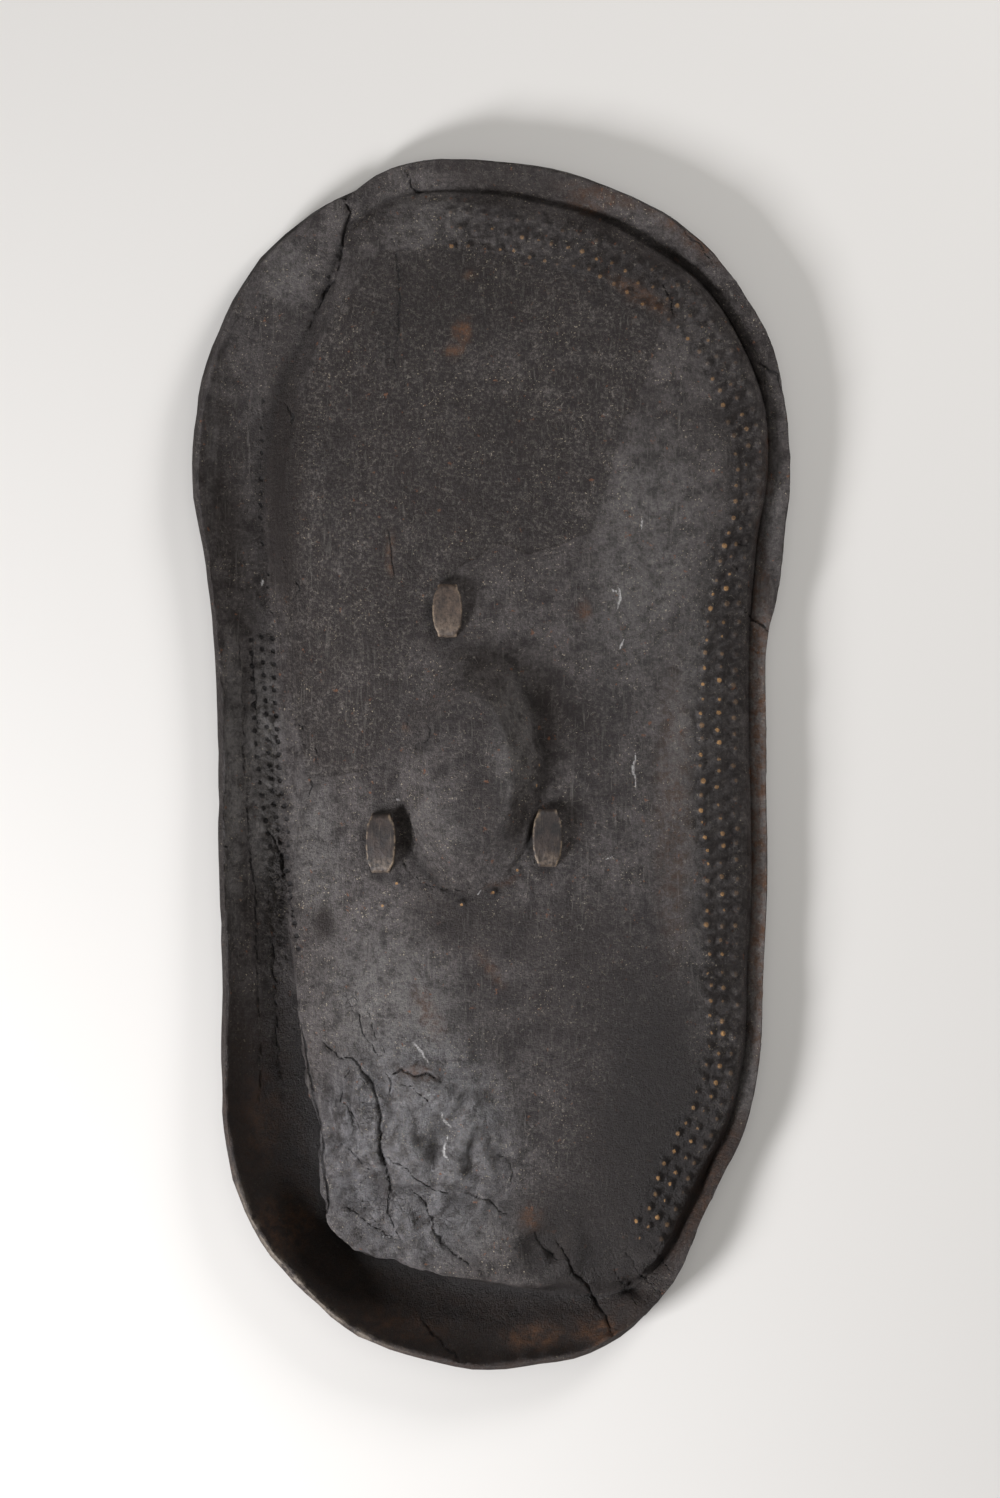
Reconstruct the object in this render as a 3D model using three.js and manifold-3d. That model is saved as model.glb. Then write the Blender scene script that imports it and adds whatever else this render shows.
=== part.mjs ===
// Hide shield, lying face up: front towards +Z, its upper end towards +Y, millimetres.
// One thick sheet of rawhide is moulded into a turned-up rim, a groove, a domed field and a
// hollow boss. A forked grip strap at the back is threaded through three pairs of slits.
import * as THREE from "three";
import { mergeVertices } from "three/addons/utils/BufferGeometryUtils.js";
import Module from "manifold-3d";

const LENGTH = 1100;
const HIDE_THICKNESS = 7;

// The drawing that the free-form lines are measured on is 1212 units long, x right, y down.
const UNIT = LENGTH / 1212;
const SHEET_X = 490.5;
const SHEET_Y = 765.5;

// Field: height of the dome over the groove, and how full it is between groove and crown.
const CROWN_HEIGHT = 78;
const FULLNESS = 2.6;

// Boss: an oval swelling around the crown, hollow behind for the hand.
const BOSS = { x: 470, y: 770, halfWidth: 71, halfLength: 124, height: 24, taper: 0.06 };

// Swells and dents of the field: centre and reach in drawing units, height in mm.
const SWELLS = [
  { x: 425, y: 1105, reachX: 120, reachY: 165, height: 15 },
  { x: 540, y: 1245, reachX: 42, reachY: 34, height: -8 },
  { x: 360, y: 430, reachX: 70, reachY: 130, height: -5 },
  { x: 407, y: 832, reachX: 17, reachY: 42, height: -9 },
];

const STRAP_WIDTH = 24.5;
const SLIT_WIDTH = 17;
const NECK_LENGTH = 13;
const STRAP_THICKNESS = 4;
const ARM_THICKNESS = 3.6;
const SLIT_GAP = 0.6;
const STRAP_BEND = 4.5;
const STRAP_TAIL = 16;
const GRIP_LEVEL = 53;
const TAB_LIFT = 5.6;
const TAB_CROWN = 1.8;

const BUMP_RADIUS = 4.6;
const BUMP_HEIGHT = 2.2;
const BUMP_PITCH = 16.6;

// Tears that run in from the rim, outlined on the drawing: at the upper left, the lower right
// and the bottom.
const TEARS = [
  [[338, 182], [344, 200], [346, 214], [343, 236], [341, 246], [346, 236], [349, 214], [352, 190]],
  [[622, 1350], [614, 1339], [603, 1318], [596, 1303], [606, 1317], [618, 1336], [626, 1348]],
  [[512, 1376], [508, 1366], [505, 1358], [509, 1356], [514, 1364], [522, 1374]],
];

const COLUMNS = 84;

// Stations round the rim, clockwise from the top, in drawing units: edge x and y, groove x and
// y, run of the wall from groove to shoulder, then rise of the edge and of the shoulder in mm.
const STATIONS = [
  [450, 157, 450, 189, 12, 18, 12],
  [500, 160, 498, 192, 12, 18, 13],
  [560, 169, 552, 203, 12, 19, 14],
  [620, 190, 607, 219, 12, 20, 16],
  [670, 215, 652, 246, 11, 21, 18],
  [712, 250, 688, 268, 10, 22, 20],
  [745, 293, 717, 297, 9, 22, 24],
  [771, 340, 744, 342, 9, 22, 26],
  [785, 400, 766, 398, 9, 22, 28],
  [791, 470, 770, 468, 9, 22, 28],
  [785, 540, 759, 541, 9, 21, 28],
  [778, 597, 754, 598, 9, 19, 27],
  [768, 640, 752, 645, 8, 18, 26],
  [767, 720, 752, 720, 8, 18, 26],
  [767, 800, 754, 800, 9, 18, 26],
  [768, 880, 755, 880, 9, 18, 26],
  [764, 980, 750, 978, 9, 19, 26],
  [760, 1060, 747, 1055, 9, 20, 26],
  [745, 1130, 731, 1128, 9, 21, 25],
  [721, 1181, 706, 1177, 9, 22, 24],
  [700, 1225, 684, 1221, 9, 23, 23],
  [680, 1272, 664, 1262, 10, 25, 22],
  [650, 1311, 632, 1291, 14, 28, 22],
  [618, 1339, 595, 1297, 14, 32, 28],
  [577, 1358, 560, 1293, 10, 34, 36],
  [530, 1365, 526, 1288, 6, 36, 44],
  [481, 1370, 480, 1281, 4, 38, 48],
  [430, 1360, 436, 1272, 2, 38, 50],
  [380, 1346, 398, 1258, 1, 38, 51],
  [335, 1320, 360, 1247, 0, 38, 52],
  [296, 1283, 336, 1230, -1, 38, 53],
  [263, 1245, 327, 1197, -2, 38, 54],
  [238, 1195, 326, 1160, -4, 38, 54],
  [224, 1130, 320, 1115, -4, 38, 53],
  [221, 1060, 308, 1060, -3, 36, 49],
  [222, 980, 297, 985, 2, 34, 44],
  [220, 900, 285, 905, 12, 32, 36],
  [218, 830, 281, 835, 20, 30, 31],
  [218, 760, 277, 760, 25, 28, 29],
  [216, 690, 273, 690, 29, 28, 29],
  [211, 620, 269, 620, 33, 28, 29],
  [203, 555, 264, 560, 37, 28, 30],
  [192, 490, 262, 495, 40, 28, 30],
  [194, 425, 267, 435, 40, 28, 29],
  [204, 370, 280, 385, 36, 28, 27],
  [230, 304, 304, 335, 26, 26, 22],
  [260, 257, 325, 290, 18, 23, 17],
  [295, 224, 336, 258, 13, 19, 13],
  [335, 197, 350, 222, 9, 12, 9],
  [357, 186, 366, 210, 9, 9, 7],
  [381, 171, 388, 197, 10, 10, 7],
  [415, 160, 418, 190, 12, 14, 9],
];

// Vertex rings from the middle of the front to the rim: 0 to 1 is the field, with the foot of
// the boss at BOSS_RING, 1 to 2 the wall down into the groove, and 2 to 3 the rim.
const BOSS_RING = 0.34;
const RINGS = [0, 0.12, 0.19, 0.24, 0.29, 0.34, 0.44, 0.56, 0.68, 0.8, 0.9, 1, 1.5, 2, 2.5, 3];

const onSheet = (x, y) => new THREE.Vector2((x - SHEET_X) * UNIT, (SHEET_Y - y) * UNIT);
const MIDDLE = onSheet(BOSS.x, BOSS.y);

function closedCurve(pick) {
  const points = STATIONS.map(pick);
  return new THREE.CatmullRomCurve3(points, true, "centripetal");
}

const edgeLine = closedCurve(([x, y, , , , lip]) => {
  const p = onSheet(x, y);
  return new THREE.Vector3(p.x, p.y, lip);
});
const grooveLine = closedCurve(([, , x, y]) => {
  const p = onSheet(x, y);
  return new THREE.Vector3(p.x, p.y, 0);
});
const shoulderLine = closedCurve(([, , x, y, run, , wall]) => {
  const groove = onSheet(x, y);
  const inward = MIDDLE.clone().sub(groove).normalize();
  const p = groove.addScaledVector(inward, run * UNIT);
  return new THREE.Vector3(p.x, p.y, wall);
});

const smoothstep = (from, to, value) => {
  const t = THREE.MathUtils.clamp((value - from) / (to - from), 0, 1);
  return t * t * (3 - 2 * t);
};

// Distance from the middle to the foot of the boss, in the direction of the given offset.
function bossReach(offset) {
  const along = offset.y / offset.length();
  const across = offset.x / offset.length();
  const width = BOSS.halfWidth * UNIT * (1 - BOSS.taper * Math.max(along, 0));
  return 1 / Math.hypot(across / width, along / (BOSS.halfLength * UNIT));
}

function swellHeight(x, y) {
  let height = 0;
  for (const swell of SWELLS) {
    const c = onSheet(swell.x, swell.y);
    const across = (x - c.x) / (swell.reachX * UNIT);
    const along = (y - c.y) / (swell.reachY * UNIT);
    height += swell.height * (1 - smoothstep(0, 1, Math.hypot(across, along)));
  }
  return height;
}

// The front at the share `turn` round the rim and the ring `reach` out from the middle.
function front(turn, reach) {
  const t = ((turn % 1) + 1) % 1;
  const shoulder = shoulderLine.getPoint(t);
  if (reach <= 1) {
    const ray = new THREE.Vector2(shoulder.x, shoulder.y).sub(MIDDLE);
    const foot = bossReach(ray);
    const beyond = (reach - BOSS_RING) / (1 - BOSS_RING);
    const radius = beyond < 0
      ? (foot * reach) / BOSS_RING
      : THREE.MathUtils.lerp(foot, ray.length(), beyond);
    const { x, y } = ray.setLength(radius).add(MIDDLE);
    const dome = (CROWN_HEIGHT - shoulder.z) * (1 - Math.pow(reach, FULLNESS));
    const boss = BOSS.height * (1 - smoothstep(0.55, 1, reach / BOSS_RING));
    return new THREE.Vector3(x, y, shoulder.z + dome + boss + swellHeight(x, y));
  }
  const groove = grooveLine.getPoint(t);
  if (reach <= 2) {
    const down = reach - 1;
    const p = shoulder.clone().lerp(groove, down);
    const rim = shoulder.z + swellHeight(shoulder.x, shoulder.y);
    p.z = rim * Math.pow(1 - down, 1.15);
    return p;
  }
  const edge = edgeLine.getPoint(t);
  const out = reach - 2;
  const p = groove.clone().lerp(edge, out);
  const width = groove.clone().setZ(0).distanceTo(edge.clone().setZ(0)) / UNIT;
  const rolled = 1 - smoothstep(25, 55, width);
  const dished = Math.pow(out, 1.7);
  p.z = edge.z * THREE.MathUtils.lerp(dished, 1 - Math.pow(1 - out, 1.5), rolled);
  return p;
}

function frontNormal(turn, reach) {
  const step = 0.004;
  const inner = Math.max(reach - 0.04, 0.01);
  const outer = Math.min(inner + 0.08, 3);
  const alongRim = front(turn + step, Math.max(reach, 0.02));
  alongRim.sub(front(turn - step, Math.max(reach, 0.02)));
  const outwards = front(turn, outer).sub(front(turn, inner));
  return alongRim.cross(outwards).normalize();
}

// Field height at a point of the plan, found from the station that lies in its direction.
function fieldHeight(x, y) {
  const aim = Math.atan2(y - MIDDLE.y, x - MIDDLE.x);
  let best = 0;
  let error = Infinity;
  for (let i = 0; i < 2000; i += 1) {
    const p = shoulderLine.getPoint(i / 2000);
    const turned = Math.atan2(p.y - MIDDLE.y, p.x - MIDDLE.x) - aim;
    const off = Math.abs(Math.atan2(Math.sin(turned), Math.cos(turned)));
    if (off < error) {
      error = off;
      best = i / 2000;
    }
  }
  const distance = Math.hypot(x - MIDDLE.x, y - MIDDLE.y);
  return front(best, ringAt(best, distance)).z;
}

// The ring that lies at a distance from the middle.
function ringAt(turn, distance) {
  const shoulder = shoulderLine.getPoint(turn);
  const ray = new THREE.Vector2(shoulder.x, shoulder.y).sub(MIDDLE);
  const foot = bossReach(ray);
  if (distance < foot) {
    return (BOSS_RING * distance) / foot;
  }
  const beyond = (distance - foot) / (ray.length() - foot);
  return BOSS_RING + (1 - BOSS_RING) * Math.min(beyond, 1);
}

const wasm = await Module();
wasm.setup();

function solidOf(geometry) {
  const plain = geometry.index ? geometry.clone() : geometry;
  plain.deleteAttribute("normal");
  plain.deleteAttribute("uv");
  const merged = mergeVertices(plain, 1e-3);
  const corners = [];
  for (let i = 0; i < merged.index.count; i += 3) {
    const [a, b, c] = [0, 1, 2].map((k) => merged.index.getX(i + k));
    if (a !== b && b !== c && c !== a) {
      corners.push(a, b, c);
    }
  }
  return new wasm.Manifold(
    new wasm.Mesh({
      numProp: 3,
      vertProperties: new Float32Array(merged.attributes.position.array),
      triVerts: new Uint32Array(corners),
    }),
  );
}

function geometryOf(solid) {
  const { vertProperties, triVerts } = solid.getMesh();
  const geometry = new THREE.BufferGeometry();
  geometry.setAttribute("position", new THREE.BufferAttribute(vertProperties, 3));
  geometry.setIndex(new THREE.BufferAttribute(triVerts, 1));
  return geometry;
}

// The hide starts as a turned body, front rings then back rings, and is moved ring by ring on
// to the moulded front and its offset back.
function mouldedHide() {
  const profile = [];
  RINGS.forEach((ring) => profile.push(new THREE.Vector2(ring, 1)));
  [...RINGS].reverse().forEach((ring) => profile.push(new THREE.Vector2(ring, 0)));
  const geometry = new THREE.LatheGeometry(profile, COLUMNS);
  const position = geometry.attributes.position;
  for (let i = 0; i < position.count; i += 1) {
    const column = Math.floor(i / profile.length) % COLUMNS;
    const { x: ring, y: side } = profile[i % profile.length];
    const turn = ring === 0 ? 0 : columnTurns[column];
    const p = front(turn, ring);
    const through = backWay(turn, ring).multiplyScalar(HIDE_THICKNESS);
    if (ring === 3) {
      p.add(through).setZ(p.z - through.z);
    }
    if (side === 0) {
      p.sub(through);
    }
    position.setXYZ(i, p.x, p.y, p.z);
  }
  return geometry;
}

// The back is parallel to the front; at the bends it keeps clear by following the mean slope.
function backWay(turn, ring) {
  if (ring === 0) {
    return new THREE.Vector3(0, 0, 1);
  }
  return frontNormal(turn, ring);
}

// Columns stand at equal steps along the edge.
const columnTurns = [];
for (let i = 0; i < COLUMNS; i += 1) {
  columnTurns.push(edgeLine.getUtoTmapping(i / COLUMNS));
}

// The strap necks in where it goes through a slit, so each tab is barrel-shaped.
function strapWidthAt(y, slits) {
  const away = Math.min(...slits.map((slit) => Math.abs(y - slit)));
  return THREE.MathUtils.lerp(SLIT_WIDTH, STRAP_WIDTH, smoothstep(0, NECK_LENGTH, away));
}

// A strip bent along a path of points x, y, z and sideways tilt, its width always across.
function strip(path, tab, thickness) {
  const slits = [onSheet(0, tab.near).y, onSheet(0, tab.far).y];
  const steps = path.length - 1;
  const geometry = new THREE.BoxGeometry(1, steps, thickness, 1, steps, 1);
  const position = geometry.attributes.position;
  for (let i = 0; i < position.count; i += 1) {
    const at = Math.round(position.getY(i) + steps / 2);
    const before = path[Math.max(at - 1, 0)];
    const after = path[Math.min(at + 1, steps)];
    const way = new THREE.Vector2(after.y - before.y, after.z - before.z).normalize();
    const lift = position.getZ(i);
    const aside = position.getX(i) * strapWidthAt(path[at].y, slits);
    position.setXYZ(
      i,
      path[at].x + aside,
      path[at].y - way.y * lift,
      path[at].z + way.x * lift + aside * path[at].w,
    );
  }
  return geometry;
}

// Points with every corner rounded by a short arc.
function rounded(points, bend) {
  const path = [points[0]];
  for (let i = 1; i < points.length - 1; i += 1) {
    const back = points[i - 1].clone().sub(points[i]);
    const ahead = points[i + 1].clone().sub(points[i]);
    const reach = Math.min(bend, back.length() * 0.45, ahead.length() * 0.45);
    const from = points[i].clone().addScaledVector(back.normalize(), reach);
    const to = points[i].clone().addScaledVector(ahead.normalize(), reach);
    for (const share of [0, 1 / 3, 2 / 3, 1]) {
      const first = from.clone().lerp(points[i], share);
      path.push(first.lerp(points[i].clone().lerp(to, share), share));
    }
  }
  path.push(points[points.length - 1]);
  return path;
}

// Each tab: middle line x and the drawing heights of its two slits, grip side first.
const TABS = {
  upper: { x: 448, near: 640, far: 584 },
  left: { x: 382, near: 810, far: 874 },
  right: { x: 547, near: 806, far: 868 },
};

// One arm from the grip out: along the back, up through the near slit, over the front, down
// through the far slit, and a short tail. The part over the front tilts with the field.
function armPath(tab, start) {
  const near = onSheet(tab.x, tab.near);
  const far = onSheet(tab.x, tab.far);
  const out = Math.sign(far.y - near.y);
  const tail = far.y + out * STRAP_TAIL;
  const height = (y) => fieldHeight(near.x, y);
  const tilt = (y) => {
    const half = STRAP_WIDTH / 2;
    return (fieldHeight(near.x + half, y) - fieldHeight(near.x - half, y)) / STRAP_WIDTH;
  };
  const at = (y, z, w) => new THREE.Vector4(near.x, y, z, w);
  const under = HIDE_THICKNESS + STRAP_THICKNESS / 2 + 2.6;
  const run = [0.17, 0.34, 0.5, 0.66, 0.83].map((share) => {
    const y = THREE.MathUtils.lerp(near.y, far.y, share);
    const crown = TAB_CROWN * Math.sin(Math.PI * share);
    return at(y, height(y) + TAB_LIFT + crown, tilt(y));
  });
  const points = [
    ...start,
    at(near.y, GRIP_LEVEL, 0),
    at(near.y, height(near.y) + TAB_LIFT, tilt(near.y)),
    ...run,
    at(far.y, height(far.y) + TAB_LIFT, tilt(far.y)),
    at(far.y, height(far.y) - under, tilt(far.y)),
    at(tail, height(tail) - under, tilt(tail)),
  ];
  return rounded(points, STRAP_BEND);
}

function gripStrap() {
  const at = (x, y, z) => {
    const p = onSheet(x, y);
    return new THREE.Vector4(p.x, p.y, z, 0);
  };
  const stemStart = [at(450, 800, GRIP_LEVEL), at(450, 716, GRIP_LEVEL)];
  const leftStart = [at(448, 722, GRIP_LEVEL), at(440, 745, GRIP_LEVEL)];
  const rightStart = [at(452, 722, GRIP_LEVEL), at(466, 745, GRIP_LEVEL)];
  leftStart.push(at(390, 792, GRIP_LEVEL - 2));
  rightStart.push(at(534, 786, GRIP_LEVEL));
  const arms = [
    [TABS.upper, stemStart, STRAP_THICKNESS],
    [TABS.left, leftStart, ARM_THICKNESS],
    [TABS.right, rightStart, ARM_THICKNESS],
  ];
  const solids = arms.map(([tab, start, thickness]) => {
    return solidOf(strip(armPath(tab, start), tab, thickness));
  });
  return wasm.Manifold.union(solids);
}

function prism(outline, bottom, top) {
  const shape = new THREE.Shape(outline.map(([x, y]) => onSheet(x, y)));
  const geometry = new THREE.ExtrudeGeometry(shape, { depth: top - bottom, bevelEnabled: false });
  return solidOf(geometry.translate(0, 0, bottom));
}

function slitCut(tab, height) {
  const p = onSheet(tab.x, height);
  const across = SLIT_WIDTH + 2 * SLIT_GAP;
  const along = STRAP_THICKNESS + 2 * SLIT_GAP;
  return solidOf(new THREE.BoxGeometry(across, along, 120).translate(p.x, p.y, 60));
}

// Rows of embossed dots inside the shoulder: distance from it in drawing units, the share of
// the rim where the row starts and ends, and the start of the first dot as a share of a pitch.
const BUMP_ROWS = [
  { inset: 11, from: 0.03, to: 0.44, phase: 0 },
  { inset: 28, from: 0.03, to: 0.44, phase: 0.5 },
  { inset: 45, from: 0.03, to: 0.44, phase: 0.1 },
];

function bumpAt(turn, inset) {
  const shoulder = shoulderLine.getPoint(turn);
  const full = Math.hypot(shoulder.x - MIDDLE.x, shoulder.y - MIDDLE.y);
  const reach = ringAt(turn, full - inset * UNIT);
  const buried = 1.6;
  const cone = new THREE.ConeGeometry(BUMP_RADIUS, BUMP_HEIGHT + buried, 5);
  cone.rotateX(Math.PI / 2).translate(0, 0, (BUMP_HEIGHT - buried) / 2);
  const turnTo = new THREE.Quaternion();
  turnTo.setFromUnitVectors(new THREE.Vector3(0, 0, 1), frontNormal(turn, reach));
  const place = front(turn, reach);
  return solidOf(cone.applyQuaternion(turnTo).translate(place.x, place.y, place.z));
}

function bumps() {
  const solids = [];
  const rim = shoulderLine.getLength();
  for (const row of BUMP_ROWS) {
    const count = Math.floor(((row.to - row.from) * rim) / (BUMP_PITCH * UNIT));
    for (let i = 0; i < count; i += 1) {
      const share = row.from + ((i + row.phase) * BUMP_PITCH * UNIT) / rim;
      solids.push(bumpAt(shoulderLine.getUtoTmapping(share), row.inset));
    }
  }
  return solids;
}

function hideSolid() {
  let hide = solidOf(mouldedHide());
  hide = hide.add(wasm.Manifold.union(bumps()));
  for (const tear of TEARS) {
    hide = hide.subtract(prism(tear, -20, 140));
  }
  for (const tab of Object.values(TABS)) {
    hide = hide.subtract(slitCut(tab, tab.near)).subtract(slitCut(tab, tab.far));
  }
  return hide;
}

const HIDE_LOOK = new THREE.MeshStandardMaterial({ color: 0x453d39, roughness: 0.62 });
const STRAP_LOOK = new THREE.MeshStandardMaterial({ color: 0x5a5047, roughness: 0.7 });

const shield = new THREE.Group();
const hide = new THREE.Mesh(geometryOf(hideSolid()), HIDE_LOOK);
hide.name = "hide";
const strap = new THREE.Mesh(geometryOf(gripStrap()), STRAP_LOOK);
strap.name = "grip_strap";
shield.add(hide, strap);

// The origin is under the middle of the shield, on the ground that it lies on.
const box = new THREE.Box3().setFromObject(shield);
const middle = box.getCenter(new THREE.Vector3());
shield.position.set(-middle.x, -middle.y, -box.min.z);

export default shield;
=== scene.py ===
# Hide shield: a long, waisted war shield moulded from one thick sheet of rawhide.
# It lies face up on a pale floor and is seen from straight above.
import math
import random

import bmesh
import bpy
import numpy as np
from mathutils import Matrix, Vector, noise


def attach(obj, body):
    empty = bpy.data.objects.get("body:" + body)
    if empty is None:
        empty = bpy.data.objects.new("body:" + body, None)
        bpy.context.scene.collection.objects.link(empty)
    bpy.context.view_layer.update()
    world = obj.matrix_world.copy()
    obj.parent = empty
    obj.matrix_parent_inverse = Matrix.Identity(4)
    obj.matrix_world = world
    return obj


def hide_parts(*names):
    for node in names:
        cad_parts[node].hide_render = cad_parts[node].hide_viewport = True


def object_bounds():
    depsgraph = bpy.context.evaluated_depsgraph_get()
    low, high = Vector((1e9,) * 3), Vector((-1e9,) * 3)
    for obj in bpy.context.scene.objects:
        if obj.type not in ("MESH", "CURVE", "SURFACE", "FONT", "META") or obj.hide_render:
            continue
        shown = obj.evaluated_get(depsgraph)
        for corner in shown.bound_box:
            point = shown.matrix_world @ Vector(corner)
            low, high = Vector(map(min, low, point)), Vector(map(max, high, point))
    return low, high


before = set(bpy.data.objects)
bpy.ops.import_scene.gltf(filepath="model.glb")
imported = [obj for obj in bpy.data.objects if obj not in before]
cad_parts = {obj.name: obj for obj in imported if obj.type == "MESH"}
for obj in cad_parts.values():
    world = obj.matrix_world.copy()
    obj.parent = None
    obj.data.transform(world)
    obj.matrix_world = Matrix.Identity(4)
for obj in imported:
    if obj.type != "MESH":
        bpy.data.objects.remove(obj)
cad_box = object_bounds()


# ---------------------------------------------------------------------------
# The hide. One sheet of rawhide about 7 mm thick, soaked, beaten into a mould so
# that its rim turns up, a groove runs inside the rim and the field swells to an
# oval boss, then dried hard. Rows of dots were punched in along the shoulder.
# ---------------------------------------------------------------------------

HIDE_THICKNESS = 0.007
UNIT = 1.1 / 1212  # metres to one unit of the drawing, x right and y down
SHEET_X = 490.5  # where the sheet's own zero lies on the drawing
SHEET_Y = 765.5
LIES_AT = np.array([-0.000598, -0.001775, 0.006989])  # the drawing's zero in the frame

CROWN_HEIGHT = 0.078
FULLNESS = 2.6
BOSS_X = 470
BOSS_Y = 770
BOSS_HALF_WIDTH = 71 * UNIT
BOSS_HALF_LENGTH = 124 * UNIT
BOSS_HEIGHT = 0.024
BOSS_TAPER = 0.06
BOSS_RING = 0.34

# Swells and dents of the field: centre and reach on the drawing, height in millimetres.
SWELLS = [
    (425, 1105, 120, 165, 15),
    (540, 1245, 42, 34, -8),
    (360, 430, 70, 130, -5),
    (407, 832, 17, 42, -9),
]

# Stations round the rim, clockwise from the top: edge x and y, groove x and y, run of the
# wall from groove to shoulder, then rise of the edge and of the shoulder in millimetres.
STATIONS = [
    (450, 157, 450, 189, 12, 18, 12), (500, 160, 498, 192, 12, 18, 13),
    (560, 169, 552, 203, 12, 19, 14), (620, 190, 607, 219, 12, 20, 16),
    (670, 215, 652, 246, 11, 21, 18), (712, 250, 688, 268, 10, 22, 20),
    (745, 293, 717, 297, 9, 22, 24), (771, 340, 744, 342, 9, 22, 26),
    (785, 400, 766, 398, 9, 22, 28), (791, 470, 770, 468, 9, 22, 28),
    (785, 540, 759, 541, 9, 21, 28), (778, 597, 754, 598, 9, 19, 27),
    (768, 640, 752, 645, 8, 18, 26), (767, 720, 752, 720, 8, 18, 26),
    (767, 800, 754, 800, 9, 18, 26), (768, 880, 755, 880, 9, 18, 26),
    (764, 980, 750, 978, 9, 19, 26), (760, 1060, 747, 1055, 9, 20, 26),
    (745, 1130, 731, 1128, 9, 21, 25), (721, 1181, 706, 1177, 9, 22, 24),
    (700, 1225, 684, 1221, 9, 23, 23), (680, 1272, 664, 1262, 10, 25, 22),
    (650, 1311, 632, 1291, 14, 28, 22), (618, 1339, 595, 1297, 14, 32, 28),
    (577, 1358, 560, 1293, 10, 34, 36), (530, 1365, 526, 1288, 6, 36, 44),
    (481, 1370, 480, 1281, 4, 38, 48), (430, 1360, 436, 1272, 2, 38, 50),
    (380, 1346, 398, 1258, 1, 38, 51), (335, 1320, 360, 1247, 0, 38, 52),
    (296, 1283, 336, 1230, -1, 38, 53), (263, 1245, 327, 1197, -2, 38, 54),
    (238, 1195, 326, 1160, -4, 38, 54), (224, 1130, 320, 1115, -4, 38, 53),
    (221, 1060, 308, 1060, -3, 36, 49), (222, 980, 297, 985, 2, 34, 44),
    (220, 900, 285, 905, 12, 32, 36), (218, 830, 281, 835, 20, 30, 31),
    (218, 760, 277, 760, 25, 28, 29), (216, 690, 273, 690, 29, 28, 29),
    (211, 620, 269, 620, 33, 28, 29), (203, 555, 264, 560, 37, 28, 30),
    (192, 490, 262, 495, 40, 28, 30), (194, 425, 267, 435, 40, 28, 29),
    (204, 370, 280, 385, 36, 28, 27), (230, 304, 304, 335, 26, 26, 22),
    (260, 257, 325, 290, 18, 23, 17), (295, 224, 336, 258, 13, 19, 13),
    (335, 197, 350, 222, 9, 12, 9), (357, 186, 366, 210, 9, 9, 7),
    (381, 171, 388, 197, 10, 10, 7), (415, 160, 418, 190, 12, 14, 9),
]


def on_sheet(x, y):
    return np.array([(x - SHEET_X) * UNIT, (SHEET_Y - y) * UNIT])


def rim_curve(points, samples=8000):
    """The closed line through the stations, as a dense loop of points."""
    points = np.array(points, float)
    count = len(points)
    along = np.arange(samples) / samples * count
    first = along.astype(int)
    share = (along - first)[:, None]
    a, b, c, d = (points[(first + k) % count] for k in (-1, 0, 1, 2))
    ab, bc, cd = (
        (np.sum((q - p) ** 2, axis=1) ** 0.25)[:, None] for p, q in ((a, b), (b, c), (c, d))
    )
    leave = ((b - a) / ab - (c - a) / (ab + bc) + (c - b) / bc) * bc
    arrive = ((c - b) / bc - (d - b) / (bc + cd) + (d - c) / cd) * bc
    square, cube = share**2, share**3
    return (
        (2 * cube - 3 * square + 1) * b
        + (cube - 2 * square + share) * leave
        + (3 * square - 2 * cube) * c
        + (cube - square) * arrive
    )


middle = on_sheet(BOSS_X, BOSS_Y)
edge_stations, groove_stations, shoulder_stations = [], [], []
for ex, ey, gx, gy, run, lip, wall in STATIONS:
    groove_at = on_sheet(gx, gy)
    inward = (middle - groove_at) / np.linalg.norm(middle - groove_at)
    edge_stations.append([*on_sheet(ex, ey), lip / 1000])
    groove_stations.append([*groove_at, 0])
    shoulder_stations.append([*(groove_at + inward * run * UNIT), wall / 1000])
edge_line = rim_curve(edge_stations)
groove_line = rim_curve(groove_stations)
shoulder_line = rim_curve(shoulder_stations)

steps = np.linalg.norm(np.roll(edge_line, -1, axis=0) - edge_line, axis=1)
edge_run = np.concatenate([[0], np.cumsum(steps)])
edge_run /= edge_run[-1]


def at_turn(line, turn):
    """The point of a rim line at a share of the way round its edge."""
    place = np.interp(np.mod(turn, 1), edge_run, np.arange(len(edge_run)))
    first = place.astype(int) % len(line)
    share = (place - np.floor(place))[:, None]
    return line[first] * (1 - share) + line[(first + 1) % len(line)] * share


def smoothstep(low, high, value):
    share = np.clip((value - low) / (high - low), 0, 1)
    return share * share * (3 - 2 * share)


def swell_height(x, y):
    height = np.zeros_like(x)
    for sx, sy, reach_x, reach_y, rise in SWELLS:
        centre = on_sheet(sx, sy)
        off = np.hypot((x - centre[0]) / (reach_x * UNIT), (y - centre[1]) / (reach_y * UNIT))
        height += rise / 1000 * (1 - smoothstep(0, 1, off))
    return height


def boss_foot(ray):
    length = np.linalg.norm(ray, axis=1)
    across, along = ray[:, 0] / length, ray[:, 1] / length
    width = BOSS_HALF_WIDTH * (1 - BOSS_TAPER * np.maximum(along, 0))
    return 1 / np.hypot(across / width, along / BOSS_HALF_LENGTH)


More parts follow.
